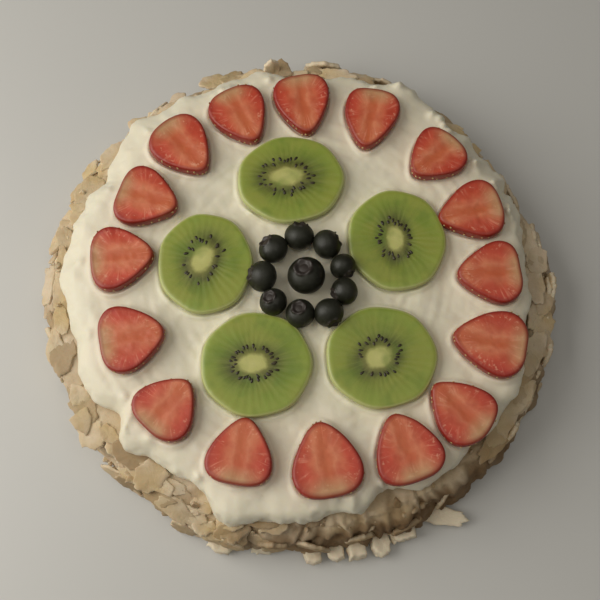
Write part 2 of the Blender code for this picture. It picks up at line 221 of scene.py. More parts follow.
# Blueberries: diameter, then the crown's lean as a tilt from straight up
# and an azimuth
BLUEBERRY_SQUASH = 0.92
BLUEBERRIES = (
    (13.5, 55, 80), (13.5, 80, 20), (11.9, 80, -60), (12.6, 80, 200), (13.4, 80, -70),
    (13.0, 14, 120), (12.4, 24, 150), (13.9, 70, 170), (13.5, 50, 140), (16.9, 18, 130),
)

# Cells of a noise lattice, and the cells of the near wall's folds for each
# degree: whole lattices round the rim, so that the folds meet where it closes
LATTICE = 48
FOLD_CELLS = 6 * LATTICE / 360.0
noise_tables = {}


# Helpers for shapes

def smooth(t):
    """Ease from 0 to 1: 3t^2 - 2t^3."""
    t = np.clip(t, 0.0, 1.0)
    return t * t * (3.0 - 2.0 * t)


def noise(points, size, seed):
    """Value noise between about -1 and 1: seeded values on a lattice spaced
    by size, blended with 3t^2 - 2t^3 between the eight corners."""
    if seed not in noise_tables:
        noise_tables[seed] = np.random.default_rng(seed).uniform(-1.0, 1.0, (LATTICE,) * 3)
    spot = np.asarray(points, float) / size
    cell = np.floor(spot).astype(int)
    near = smooth(spot - cell)
    total = np.zeros(spot.shape[:-1])
    for corner in itertools.product((0, 1), repeat=3):
        weight = np.prod(np.where(corner, near, 1.0 - near), axis=-1)
        index = (cell + corner) % LATTICE
        total += weight * noise_tables[seed][index[..., 0], index[..., 1], index[..., 2]]
    return total


def fractal(points, size, seed, octaves=3):
    """Sum of noise at halving sizes and halving heights."""
    return sum(0.5 ** k * noise(points, size / 2.0 ** k, seed + k) for k in range(octaves))


def lobes(azimuth, table):
    """Sum of smooth bumps round the rim, each amount * exp(-(gap / width)^2)."""
    total = np.zeros(np.shape(azimuth))
    for centre, width, amount in table:
        gap = (azimuth - centre + 180.0) % 360.0 - 180.0
        total = total + amount * np.exp(-((gap / width) ** 2))
    return total


def round_path(corners, count):
    """Points evenly spaced along a path whose corners are cut three times."""
    path = np.array(corners, float)
    for _ in range(3):
        cut = np.stack([0.75 * path[:-1] + 0.25 * path[1:], 0.25 * path[:-1] + 0.75 * path[1:]], 1)
        path = np.concatenate([path[:1], cut.reshape(-1, 2), path[-1:]])
    reach = np.concatenate([[0.0], np.cumsum(np.hypot(*np.diff(path, axis=0).T))])
    even = np.linspace(0.0, reach[-1], count)
    return np.stack([np.interp(even, reach, path[:, axis]) for axis in (0, 1)], -1)


def ring_angles(count):
    """Azimuths in degrees of the columns of a ring."""
    return np.arange(count) * 360.0 / count


def ring_turns(count):
    """Turns in radians of the columns of a ring, as one row."""
    return np.arange(count)[None, :] * math.tau / count


def combined(x, y, z):
    """Points or vectors from parts whose shapes fit together."""
    return np.stack(np.broadcast_arrays(x, y, z), -1)


def cylinder_points(azimuth, radius, height):
    """Points from azimuth in degrees, radius and height."""
    angle = np.radians(azimuth)
    return combined(radius * np.cos(angle), radius * np.sin(angle), height)


def shell(rings, top, bottom, **marks):
    """Closed surface from rings of points, listed from top to bottom and
    counter-clockwise seen from above, with a pole at each end. A mark is a
    value for each ring point, and a pole takes its ring's mean."""
    rows, columns = rings.shape[:2]
    ring = np.arange(rows * columns).reshape(rows, columns)
    after = np.roll(ring, -1, axis=1)
    quads = np.stack([ring[:-1], ring[1:], after[1:], after[:-1]], -1).reshape(-1, 4)
    poles = np.full((2, columns), rows * columns) + np.array([[0], [1]])
    fans = [np.stack([poles[0], ring[0], after[0]], -1), np.stack([poles[1], after[-1], ring[-1]], -1)]
    points = np.concatenate([rings.reshape(-1, 3), [top, bottom]])
    spread = {}
    for key, values in marks.items():
        values = np.broadcast_to(values, rings.shape[:2] + np.shape(values)[2:])
        flat = values.reshape((rows * columns,) + values.shape[2:])
        spread[key] = np.concatenate([flat, [values[0].mean(0), values[-1].mean(0)]])
    return {"points": points, "quads": quads, "tris": np.concatenate(fans), "marks": spread}


def joined(surfaces):
    """Several surfaces as one."""
    starts = np.cumsum([0] + [len(s["points"]) for s in surfaces[:-1]])
    return {
        "points": np.concatenate([s["points"] for s in surfaces]),
        "quads": np.concatenate([s["quads"] + start for s, start in zip(surfaces, starts)]),
        "tris": np.concatenate([s["tris"] + start for s, start in zip(surfaces, starts)]),
        "marks": {key: np.concatenate([s["marks"][key] for s in surfaces]) for key in surfaces[0]["marks"]},
    }


def piece(name, surface, material, slot, *replaced):
    """Object of the part from a surface in millimetres, with its finish,
    its marks as attributes, and the nodes that it stands for."""
    mesh = bpy.data.meshes.new(name)
    points = (surface["points"] - MIDDLE) * MM
    corners = np.concatenate([surface["quads"].ravel(), surface["tris"].ravel()])
    sizes = np.concatenate([np.full(len(surface["quads"]), 4), np.full(len(surface["tris"]), 3)])
    mesh.vertices.add(len(points))
    mesh.vertices.foreach_set("co", points.astype(np.float32).ravel())
    mesh.loops.add(len(corners))
    mesh.loops.foreach_set("vertex_index", corners.astype(np.int32))
    mesh.polygons.add(len(sizes))
    mesh.polygons.foreach_set("loop_start", (np.cumsum(sizes) - sizes).astype(np.int32))
    mesh.update(calc_edges=True)
    for key, values in surface["marks"].items():
        kind, field = ("FLOAT", "value") if values.ndim == 1 else ("FLOAT_VECTOR", "vector")
        attribute = mesh.attributes.new(key, kind, "POINT")
        attribute.data.foreach_set(field, values.astype(np.float32).ravel())
    mesh.shade_smooth()
    mesh.materials.append(material)
    item = bpy.data.objects.new(name, mesh)
    bpy.context.scene.collection.objects.link(item)
    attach(item, BODY)
    if replaced:
        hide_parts(*replaced)


def turn_matrix(axis, degrees):
    """Rotation about X, Y or Z as a 3 by 3 array."""
    c, s = math.cos(math.radians(degrees)), math.sin(math.radians(degrees))
    first, second = {"X": (1, 2), "Y": (2, 0), "Z": (0, 1)}[axis]
    matrix = np.eye(3)
    matrix[first, first] = matrix[second, second] = c
    matrix[first, second], matrix[second, first] = -s, s
    return matrix


def along_and_across(x, y, azimuth):
    """Coordinates of x, y along an azimuth and across it."""
    turned = turn_matrix("Z", azimuth)
    return x * turned[0, 0] + y * turned[1, 0], x * turned[0, 1] + y * turned[1, 1]


# Helpers for finishes

NOISE_ROUGHNESS = 0.55


def add_node(tree, kind, settings=None, **inputs):
    """Add a node. An input given a socket is linked, any other is set."""
    node = tree.nodes.new(kind)
    for key, value in (settings or {}).items():
        setattr(node, key, value)
    for key, value in inputs.items():
        feed(tree, node.inputs[key.replace("_", " ")], value)
    return node


def feed(tree, socket, value):
    """Link a socket to another, or set its value."""
    if isinstance(value, bpy.types.NodeSocket):
        tree.links.new(value, socket)
    else:
        socket.default_value = value


def calc(tree, operation, first, second=0.0):
    """Result of a math node."""
    node = tree.nodes.new("ShaderNodeMath")
    node.operation = operation
    feed(tree, node.inputs[0], first)
    feed(tree, node.inputs[1], second)
    return node.outputs[0]


def times(tree, first, second):
    """Product of two values."""
    return calc(tree, "MULTIPLY", first, second)


def blend_colors(tree, factor, first, second):
    """Mix of two colours by a factor."""
    node = tree.nodes.new("ShaderNodeMix")
    node.data_type = "RGBA"
    for socket, value in zip((node.inputs[0], node.inputs[6], node.inputs[7]), (factor, first, second)):
        feed(tree, socket, value if not isinstance(value, tuple) else (*value, 1.0))
    return node.outputs[2]


def ramp(tree, factor, *stops):
    """Colour or value ramp; a stop is (position, colour or grey)."""
    node = tree.nodes.new("ShaderNodeValToRGB")
    tree.links.new(factor, node.inputs[0])
    elements = node.color_ramp.elements
    while len(elements) < len(stops):
        elements.new(0.5)
    for element, (position, color) in zip(elements, stops):
        element.position = position
        element.color = (*color, 1.0) if isinstance(color, tuple) else (color, color, color, 1.0)
    return node.outputs[0]


def noise_value(tree, vector, scale, detail=3.0):
    """Value of a noise texture on a vector."""
    node = add_node(tree, "ShaderNodeTexNoise", Vector=vector, Scale=scale, Detail=detail,
                    Roughness=NOISE_ROUGHNESS)
    return node.outputs["Fac"]


def waver(tree, place, scale, amount):
    """Noise about 0 that makes an edge waver."""
    return times(tree, calc(tree, "SUBTRACT", noise_value(tree, place, scale), 0.5), amount)


def new_group(name, inputs, outputs):
    """Shader node group with sockets given as (name, kind, default)."""
    group = bpy.data.node_groups.new(name, "ShaderNodeTree")
    for label, kind, default in inputs:
        socket = group.interface.new_socket(label, in_out="INPUT", socket_type="NodeSocket" + kind)
        if default is not None:
            socket.default_value = default
    for label, kind in outputs:
        group.interface.new_socket(label, in_out="OUTPUT", socket_type="NodeSocket" + kind)
    return group, group.nodes.new("NodeGroupInput").outputs, group.nodes.new("NodeGroupOutput").inputs


def use_group(tree, group, **inputs):
    """Place a node group in a material with its own values."""
    node = tree.nodes.new("ShaderNodeGroup")
    node.node_tree = group
    for key, value in inputs.items():
        feed(tree, node.inputs[key.replace("_", " ")], value)
    return node.outputs


def mottle_group():
    """Soft patches of two colours, with smaller spots of a third."""
    group, given, result = new_group(
        "food_mottle",
        [("Vector", "Vector", None), ("Patch Scale", "Float", 60.0), ("Spot Scale", "Float", 400.0),
         ("Base", "Color", None), ("Patch", "Color", None), ("Spot", "Color", None),
         ("Patch Amount", "Float", 0.6), ("Spot Amount", "Float", 0.4)],
        [("Color", "Color"), ("Mask", "Float")])
    patches = noise_value(group, given["Vector"], given["Patch Scale"])
    spots = noise_value(group, given["Vector"], given["Spot Scale"], 4.0)
    patch = ramp(group, patches, (0.36, 0.0), (0.64, 1.0))
    spot = ramp(group, spots, (0.5, 0.0), (0.7, 1.0))
    patched = blend_colors(group, times(group, patch, given["Patch Amount"]),
                           given["Base"], given["Patch"])
    spotted = blend_colors(group, times(group, spot, given["Spot Amount"]), patched, given["Spot"])
    group.links.new(spotted, result["Color"])
    group.links.new(patch, result["Mask"])
    return group


def relief_group():
    """Fine surface relief from two sizes of noise, as a normal."""
    group, given, result = new_group(
        "food_relief",
        [("Vector", "Vector", None), ("Coarse Scale", "Float", 300.0), ("Fine Scale", "Float", 1200.0),
         ("Fine Share", "Float", 0.5), ("Strength", "Float", 0.4), ("Depth", "Float", 0.0003)],
        [("Normal", "Vector")])
    coarse = noise_value(group, given["Vector"], given["Coarse Scale"])
    fine = noise_value(group, given["Vector"], given["Fine Scale"])
    height = calc(group, "ADD", coarse, times(group, fine, given["Fine Share"]))
    bump = add_node(group, "ShaderNodeBump", Height=height, Strength=given["Strength"],
                    Distance=given["Depth"])
    group.links.new(bump.outputs[0], result["Normal"])
    return group


def rays_group():
    """Fine lines that run out from the middle of a slice. Ray holds the
    cosine and sine of the turn and a number of the slice's own, and Share
    runs from 0 in the middle to 1 at the edge."""
    group, given, result = new_group(
        "flesh_rays",
        [("Ray", "Vector", None), ("Share", "Float", 0.5), ("Fineness", "Float", 9.0),
         ("Along", "Float", 1.2), ("Low", "Float", 0.42), ("High", "Float", 0.66)],
        [("Mask", "Float")])
    split = add_node(group, "ShaderNodeSeparateXYZ", Vector=given["Ray"])
    along = calc(group, "ADD", times(group, given["Share"], given["Along"]),
                 times(group, split.outputs["Z"], 7.0))
    spot = add_node(group, "ShaderNodeCombineXYZ", X=times(group, split.outputs["X"], given["Fineness"]),
                    Y=times(group, split.outputs["Y"], given["Fineness"]), Z=along)
    lines = noise_value(group, spot.outputs[0], 1.0, 2.0)
    mask = add_node(group, "ShaderNodeMapRange", {"interpolation_type": "SMOOTHSTEP"}, Value=lines,
                    From_Min=given["Low"], From_Max=given["High"])
    group.links.new(mask.outputs[0], result["Mask"])
    return group


MOTTLE = mottle_group()
RELIEF = relief_group()
RAYS = rays_group()


def new_material(name, roughness, **settings):
    """Principled material whose plain values are set; returns it with its
    tree, its shader's inputs and the object coordinates."""
    material = bpy.data.materials.new(name)
    material.use_nodes = True
    tree = material.node_tree
    inputs = tree.nodes["Principled BSDF"].inputs
    inputs["Roughness"].default_value = roughness
    for key, value in settings.items():
        inputs[key.replace("_", " ")].default_value = value
    place = tree.nodes.new("ShaderNodeTexCoord").outputs["Object"]
    return material, tree, inputs, place


def attribute(tree, name):
    """Outputs of an attribute of the mesh."""
    return add_node(tree, "ShaderNodeAttribute", {"attribute_name": name}).outputs


def add_relief(tree, inputs, place, **settings):
    """Give a shader the fine relief."""
    relief = use_group(tree, RELIEF, Vector=place, **settings)
    tree.links.new(relief["Normal"], inputs["Normal"])


def meringue_material(name, face, patch, edge, crack, toast_and_shade):
    """Baked meringue: beige skin with browned patches, pale on snapped edges, and
    darker in cracks. Tone browns it from baking and, on the near side, with
    painted shade; a pale mark also paints light where a plate is pale all over,
    and a dark mark also paints shade in recesses. It reads three marks, each 0
    to 1: the pale one, the dark one and tone."""
    material, tree, inputs, place = new_material(name, 0.82, Subsurface_Weight=0.06,
                                                 Subsurface_Scale=0.004)
    skin = use_group(tree, MOTTLE, Vector=place, Patch_Scale=52.0, Spot_Scale=420.0, Base=(*face, 1.0),
                     Patch=(*patch, 1.0), Spot=(*crack, 1.0), Patch_Amount=0.85, Spot_Amount=0.16)
    # Tone mixes in the brown colour: browning from baking, and painted shade on the near side
    tone = attribute(tree, "tone")["Fac"]
    toasted_and_shaded = blend_colors(tree, tone, skin["Color"], toast_and_shade)
    # Pale edge colour on snapped edges, and painted light where a plate is pale all over
    bare = times(tree, attribute(tree, "broken")["Fac"],
                 calc(tree, "SUBTRACT", 1.0, times(tree, tone, 0.8)))
    broken = blend_colors(tree, bare, toasted_and_shaded, edge)
    # Dark colour in cracks, and painted shade in recesses, the groove and between folds
    deep = blend_colors(tree, attribute(tree, "crack")["Fac"], broken, crack)
    tree.links.new(deep, inputs["Base Color"])
    add_relief(tree, inputs, place, Coarse_Scale=420.0, Fine_Scale=1500.0, Fine_Share=0.7,
               Strength=0.55, Depth=0.0005)
    return material


def cream_material():
    """Whipped cream: off-white, a little pink or green beside the fruit.
    Marks: pink and green, each 0 to 1."""
    material, tree, inputs, place = new_material(
        "whipped_cream", 0.5, Subsurface_Weight=0.25, Subsurface_Radius=(1.0, 0.8, 0.5),
        Subsurface_Scale=0.003)
    base = use_group(tree, MOTTLE, Vector=place, Patch_Scale=28.0, Spot_Scale=260.0,
                     Base=(0.83, 0.765, 0.60, 1.0), Patch=(0.79, 0.755, 0.60, 1.0),
                     Spot=(0.86, 0.81, 0.68, 1.0), Patch_Amount=0.5, Spot_Amount=0.25)
    pink = blend_colors(tree, attribute(tree, "pink")["Fac"], base["Color"], (0.86, 0.55, 0.42))
    green = blend_colors(tree, attribute(tree, "green")["Fac"], pink, (0.70, 0.74, 0.36))
    tree.links.new(green, inputs["Base Color"])
    add_relief(tree, inputs, place, Coarse_Scale=260.0, Fine_Scale=900.0, Fine_Share=0.4,
               Strength=0.22, Depth=0.0004)
    return material


def strawberry_material():
    """Cut strawberry: a tan heart with pale bands beside it, red flesh with
    fine pale rays, a dark margin, a pale stalk end and deep red skin.
    Marks: spot holds along, across and share; ray feeds the rays."""
    material, tree, inputs, place = new_material(
        "strawberry_flesh", 0.42, Subsurface_Weight=0.12, Subsurface_Radius=(1.0, 0.25, 0.12),
        Subsurface_Scale=0.0015, Coat_Weight=0.08, Coat_Roughness=0.25)
    spot = add_node(tree, "ShaderNodeSeparateXYZ", Vector=attribute(tree, "spot")["Vector"])
    along, across, share = (spot.outputs[axis] for axis in "XYZ")
    ray = attribute(tree, "ray")["Vector"]
    side = calc(tree, "ABSOLUTE", calc(tree, "ADD", across, waver(tree, place, 160.0, 0.34)))
    heart = ramp(tree, side, (0.0, (0.60, 0.140, 0.050)), (0.10, (0.62, 0.150, 0.058)),
                 (0.22, (0.72, 0.235, 0.115)), (0.38, (0.68, 0.170, 0.078)), (0.58, (0.62, 0.082, 0.038)),
                 (0.90, (0.44, 0.028, 0.015)))
    lines = use_group(tree, RAYS, Ray=ray, Share=share, Fineness=9.0, Along=1.0, Low=0.52, High=0.68)
    outer = ramp(tree, share, (0.40, 0.0), (0.70, 0.62), (0.88, 0.35))
    rayed = blend_colors(tree, times(tree, lines["Mask"], outer), heart, (0.85, 0.33, 0.21))
    patch = ramp(tree, noise_value(tree, place, 105.0), (0.42, 0.0), (0.62, 0.8))
    ruddy = blend_colors(tree, times(tree, patch, ramp(tree, side, (0.1, 0.35), (0.5, 1.0))),
                         rayed, (0.52, 0.060, 0.024))
    dots = times(tree, ramp(tree, noise_value(tree, place, 620.0, 1.0), (0.61, 0.0), (0.73, 0.5)),
                 ramp(tree, share, (0.52, 0.0), (0.74, 1.0), (0.90, 0.6)))
    dotted = blend_colors(tree, dots, ruddy, (0.88, 0.46, 0.30))
    stalk = times(tree, ramp(tree, along, (0.04, 0.85), (0.32, 0.0)),
                  ramp(tree, side, (0.30, 1.0), (0.90, 0.0)))
    stalked = blend_colors(tree, stalk, dotted, (0.52, 0.38, 0.19))
    margin = blend_colors(tree, ramp(tree, share, (0.82, 0.0), (0.95, 0.85)), stalked,
                          (0.28, 0.018, 0.009))
    skin = blend_colors(tree, ramp(tree, calc(tree, "SUBTRACT", share, 1.0), (0.0, 0.0), (0.1, 1.0)),
                        margin, (0.30, 0.016, 0.008))
    tree.links.new(skin, inputs["Base Color"])
    add_relief(tree, inputs, place, Coarse_Scale=380.0, Fine_Scale=1300.0, Fine_Share=0.5,
               Strength=0.3, Depth=0.0003)
    return material


def kiwi_material():
    """Cut kiwi: a pale core, dark seed chambers crossed by pale rays, green
    flesh and a lighter edge. Marks: core is 1 at the core's edge, share is 1
    at the slice's edge, and ray feeds the rays."""
    material, tree, inputs, place = new_material(
        "kiwi_flesh", 0.4, Subsurface_Weight=0.15, Subsurface_Radius=(0.5, 1.0, 0.2),
        Subsurface_Scale=0.002, Coat_Weight=0.08, Coat_Roughness=0.25)
    share = attribute(tree, "share")["Fac"]
    ray = attribute(tree, "ray")["Vector"]
    out = calc(tree, "ADD", attribute(tree, "core")["Fac"], waver(tree, place, 260.0, 0.5))
    core = times(tree, out, 0.25)
    middle = ramp(tree, core, (0.0, (0.60, 0.58, 0.21)), (0.19, (0.53, 0.52, 0.17)),
                  (0.265, (0.19, 0.19, 0.042)), (0.36, (0.080, 0.088, 0.014)),
                  (0.45, (0.125, 0.155, 0.020)), (0.60, (0.18, 0.245, 0.028)),
                  (0.80, (0.215, 0.295, 0.032)))
    lines = use_group(tree, RAYS, Ray=ray, Share=share, Fineness=9.0, Along=0.7, Low=0.42, High=0.72)
    chambers = times(tree, ramp(tree, core, (0.24, 0.0), (0.34, 0.28), (0.8, 0.22)), lines["Mask"])
    rayed = blend_colors(tree, chambers, middle, (0.33, 0.37, 0.085))
    edge = blend_colors(tree, ramp(tree, share, (0.62, 0.0), (0.92, 0.75)), rayed, (0.31, 0.38, 0.060))
    patch = times(tree, ramp(tree, noise_value(tree, place, 60.0), (0.40, 0.0), (0.62, 0.65)),
                  ramp(tree, core, (0.38, 0.1), (0.62, 1.0)))
    mellow = blend_colors(tree, patch, edge, (0.32, 0.335, 0.055))
    dim = ramp(tree, noise_value(tree, place, 95.0, 2.0), (0.52, 0.0), (0.70, 0.5))
    mellow = blend_colors(tree, dim, mellow, (0.15, 0.235, 0.026))
    rim = blend_colors(tree, ramp(tree, calc(tree, "SUBTRACT", share, 0.93), (0.0, 0.0), (0.06, 1.0)),
                       mellow, (0.50, 0.53, 0.20))
    tree.links.new(rim, inputs["Base Color"])
    add_relief(tree, inputs, place, Coarse_Scale=420.0, Fine_Scale=1400.0, Fine_Share=0.5,
               Strength=0.25, Depth=0.0003)
    return material


def seed_material(name, dark, light, roughness):
    """Small seeds, each a little lighter or darker."""
    material, tree, inputs, place = new_material(name, roughness)
    tone = use_group(tree, MOTTLE, Vector=place, Patch_Scale=300.0, Spot_Scale=1500.0,
                     Base=(*dark, 1.0), Patch=(*light, 1.0), Spot=(*light, 1.0), Patch_Amount=0.8,
                     Spot_Amount=0.3)
    tree.links.new(tone["Color"], inputs["Base Color"])
    return material


def blueberry_material():
    """Nearly black skin under a thin grey-blue bloom, rubbed off in places,
    and a dull brown crown. Mark: crown, 0 to 1."""
    material, tree, inputs, place = new_material("blueberry_skin", 0.42)
    skin = use_group(tree, MOTTLE, Vector=place, Patch_Scale=90.0, Spot_Scale=700.0,
                     Base=(0.008, 0.008, 0.003, 1.0), Patch=(0.021, 0.022, 0.012, 1.0),
                     Spot=(0.042, 0.045, 0.032, 1.0), Patch_Amount=0.8, Spot_Amount=0.3)
    crowned = blend_colors(tree, attribute(tree, "crown")["Fac"], skin["Color"], (0.03, 0.022, 0.018))
    tree.links.new(crowned, inputs["Base Color"])
    tree.links.new(ramp(tree, skin["Mask"], (0.0, 0.34), (1.0, 0.58)), inputs["Roughness"])
    add_relief(tree, inputs, place, Coarse_Scale=500.0, Fine_Scale=1900.0, Fine_Share=0.5,
               Strength=0.12, Depth=0.0002)
    return material


# Meringue

def lump_waves():
    """Seeded waves of the crust: turns, slope, phase and share."""
    draw = random.Random(LUMP_SEED)
    waves = []
    for order in range(LUMP_WAVES):
        turns = draw.randint(9, 17 + 3 * order)
        slope = draw.uniform(-0.35, 0.35)
        waves.append((turns, slope, draw.uniform(0.0, math.tau), draw.uniform(0.5, 1.0)))
    return waves


def lump(azimuth, height):
    """Lumps of the crust between about -1 and 1: a mean of seeded sines of
    the azimuth whose phase slants with height."""
    angle = np.radians(azimuth)
    total = sum(share * np.sin(turns * angle + slope * height + phase)
                for turns, slope, phase, share in lump_waves())
    return total / math.sqrt(LUMP_WAVES)


def wall_radius(azimuth, radius, height):
    """Radius of the crust's body: the turned profile, widened by the lobes
    of the shoulder and the foot and by the lumps of the wall."""
    rise = height / CRUST_TOP
    wide = rise * lobes(azimuth, SHOULDER_LOBES) + (1.0 - rise) * lobes(azimuth, FOOT_LOBES)
    wall = smooth(height / 1.5) * smooth((CRUST_TOP - 0.5 - height) / 1.5)
    return radius + wide + wall * LUMP_DEPTH * lump(azimuth, height)


def crust_profile(count):
    """Radius and height down the outside, from under the cream to the foot."""
    corners = [
        (SHOULDER_RADIUS - 14.0, CRUST_TOP), (SHOULDER_RADIUS - 6.0, CRUST_TOP),
        (SHOULDER_RADIUS - 1.5, CRUST_TOP - 1.2), (SHOULDER_RADIUS + 1.0, CRUST_TOP - 4.5),
        (SHOULDER_RADIUS + 1.6, CRUST_TOP - 9.0), (FOOT_RADIUS - 1.0, 10.0), (FOOT_RADIUS + 1.0, 5.5),
        (FOOT_RADIUS, 1.5), (FOOT_RADIUS - 3.0, 0.0),
    ]
    return round_path(corners, count)


def wall_folds(azimuth, height, coarse):
    """Folds that run down the wall, between about -1 and 1: noise of the
    azimuth and, much stretched, of the height, both bent by the coarse
    noise."""
    spot = combined(FOLD_CELLS * azimuth + 1.18 * coarse, 0.085 * height + 0.43 * coarse, 0.0)
    return noise(spot, 1.0, 38)


def crust_surface(columns=880, rows=96):
    """Body of the meringue: the profile turned round and pushed out along its
    normal by stepped crumbly noise, little on the ledge. The near wall bulges,
    has folds and is painted with shade in a brown colour, and a groove opens
    beside the cream. A dark mark paints shade where the coarse noise is low,
    in the groove and between the folds."""
    azimuth = ring_angles(columns)[None, :]
    # The near side: its wall is painted with shade in a brown colour, and has folds and a bulge
    toasted_and_shaded = lobes(azimuth, SHADED_WALL_SIDE)
    profile = crust_profile(rows)
    slope = np.gradient(profile, axis=0)
    normal = np.stack([-slope[:, 1], slope[:, 0]], -1) / np.hypot(*slope.T)[:, None]
    radius, height = (profile[:, None, axis] for axis in (0, 1))
    base = cylinder_points(azimuth, wall_radius(azimuth, radius, height), height)
    coarse = fractal(base, 9.0, 31)
    steps = np.floor(3.0 * coarse) / 3.0
    folds = wall_folds(azimuth, height, coarse)
    fine = 0.40 * noise(base, 2.3, 35) + 0.22 * noise(base, 1.2, 36)
    crumbs = 0.9 * (0.4 * coarse + 0.6 * steps) + fine + FOLD_DEPTH * folds * toasted_and_shaded
    away = beyond_cream(azimuth, np.hypot(base[..., 0], base[..., 1]))
    ledge = 0.1 + smooth(away / 4.0)
    open_air = smooth((radius - (SHOULDER_RADIUS - 9.0)) / 4.0) * smooth(height / 1.2)
    push = open_air * np.where(height > CRUST_TOP - 1.0, np.minimum(crumbs, ledge), crumbs)
    groove = np.exp(-(((away - 2.5) / 2.2) ** 2)) * smooth((height - CRUST_TOP + 3.0) / 2.0)
    groove = groove * lobes(azimuth, OPEN_GROOVE)
    push = push - groove * (GROOVE_DEPTH + 1.2 * coarse)
    wall = smooth((CRUST_TOP - 2.0 - height) / 4.0) * smooth((height - 2.0) / 4.0)
    push = push + WALL_BULGE * wall * np.minimum(toasted_and_shaded, 1.0)
    outward = cylinder_points(azimuth, normal[:, None, 0], normal[:, None, 1])
    rings = base + outward * push[..., None]
    rings[..., 2] = np.maximum(rings[..., 2], 0.0)
    inner = [rings[:1] * [share, share, 1.0] for share in (0.25, 0.75)]
    under = [rings[-1:] * [share, share, 0.0] for share in (0.98, 0.8, 0.3)]
    rings = np.concatenate([*inner, rings, *under])
    low = smooth((CRUST_TOP - 1.0 - height) / 5.0)
    # Painted shade: darker in recesses where the coarse noise is low, in the groove beside the cream and in
    # the creases between the folds
    crack = np.maximum(0.6 * smooth((0.1 - coarse) / 0.9), np.clip(1.3 * groove, 0.0, 1.0))
    marks = {
        "broken": smooth(0.5 + 0.9 * coarse) * 0.35,
        "crack": np.maximum(crack, low * smooth(-1.6 * folds) * np.minimum(toasted_and_shaded, 0.9)),
        # Tone: browned below the ledge, and painted shade in a brown colour on the near side
        "tone": 0.12 + low * (0.12 + 0.76 * toasted_and_shaded),
    }
    pad = ((len(inner), len(under)), (0, 0))
    marks = {key: np.pad(values, pad, mode="edge") for key, values in marks.items()}
    return shell(rings, (0.0, 0.0, CRUST_TOP), (0.0, 0.0, 0.0), **marks)


def shard_places(draw):
    """Every shard as (azimuth, reach, height, length, width, tilt, turn,
    roll), with the same seeded draws as the solid."""
    places = []
    for count, start, sweep, radius, *ranges in SHARD_ROWS:
        for index in range(count):
            azimuth = start + sweep * (index + draw.uniform(0.15, 0.85)) / count
            beyond, height, length, width, tilt, turn, roll = (draw.uniform(*pair) for pair in ranges)
            reach = radius + beyond + lobes(azimuth, REACH_LOBES)
            places.append((azimuth, reach, height, length, width, tilt, turn, roll))
    for azimuth, reach, width in FRONT_TIPS:
        tilt, turn = draw.uniform(0, 4), draw.uniform(-10, 10)
        places.append((azimuth, reach, TIP_HEIGHT, TIP_LENGTH, width, tilt, turn, 0))
    places.extend(LONE_SHARDS)
    return places


def plate(reach, length, width, thickness, bend, seed, tone, columns=54):
    """Broken plate: an uneven polygon in plan, from reach at each corner,
    with a nearly flat face above and below and a ragged edge between. Rows
    run from the middle of the upper face, over the edge, to the middle of
    the lower face."""
    sides = len(reach)
    spot = np.arange(columns) / columns * sides
    before = np.floor(spot)
    ends = []
    for corner in (before, before + 1):
        angle = math.tau * corner / sides
        radius = reach[corner.astype(int) % sides]
        ends.append(np.stack([np.cos(angle) * radius, np.sin(angle) * radius], -1))
    outline = ends[0] + (ends[1] - ends[0]) * (spot - before)[:, None]
    rim = combined(outline[:, 0] * length, outline[:, 1] * width, 9.0 * seed)
    ragged = 0.96 + 0.12 * noise(rim, 3.6, 51) + 0.06 * noise(rim, 1.3, 56)
    outline = outline * ragged[:, None] * 0.5
    share, level = np.array(PLATE_ROWS).T[:, :, None]
    x = (outline[None, :, 0] * share - 0.5) * length
    y = outline[None, :, 1] * share
    z = level * thickness + bend * (1.0 - 4.0 * y * y)
    rings = combined(x, y * width, z)
    edge = np.clip(1.0 - np.abs(level) / 0.5, 0.0, 1.0)
    spot = rings + 37.0 * seed
    rough = 0.35 * noise(spot, 3.2, 52) + 0.25 * noise(spot, 1.5, 53)
    rings = rings + rough[..., None] * combined(0.6 * edge, 0.6 * edge, 1.0 - 0.5 * edge)
    # A negative tone is painted light: the whole plate takes the pale edge colour
    broken = np.clip(edge * 1.2 + 0.25 * noise(spot, 4.0, 54) + max(0.0, -tone), 0.0, 1.0)
    crack = np.clip(0.5 * noise(spot, 5.0, 55) - 0.15, 0.0, 1.0) * (1.0 - broken)
    return shell(rings, rings[0].mean(0), rings[-1].mean(0), broken=broken, crack=crack,
                 tone=np.full(broken.shape, max(0.0, tone)))


def beyond_cream(azimuth, radius):
    """Distance outside the foot of the cream."""
    return radius - CREAM_RADIUS - lobes(azimuth, CREAM_LOBES) + CREAM_FOOT_INSET


def press_under_cream(points):
    """Flatten what lies under the cream to the level of the crust's top, and
    let it rise slowly outside the cream's foot."""
    azimuth = np.degrees(np.arctan2(points[:, 1], points[:, 0]))
    away = beyond_cream(azimuth, np.hypot(points[:, 0], points[:, 1]))
    limit = np.where(away < CREAM_CLEARANCE, CRUST_TOP - 0.1 + 0.8 * np.maximum(away, 0.0), np.inf)
    points[:, 2] = np.minimum(points[:, 2], limit)


def place_shard(surface, azimuth, reach, height, tilt, turn, roll):
    """The shard turned outwards, with its tip at reach and height, clear of
    the floor and pressed flat under the cream."""
    facing = turn_matrix("Z", azimuth + turn) @ turn_matrix("Y", -tilt) @ turn_matrix("X", roll)
    points = surface["points"] @ facing.T
    lift = max(height, FLOOR_CLEARANCE - points[:, 2].min())
    points = points + cylinder_points(azimuth, reach, lift)
    press_under_cream(points)
    return {**surface, "points": points}


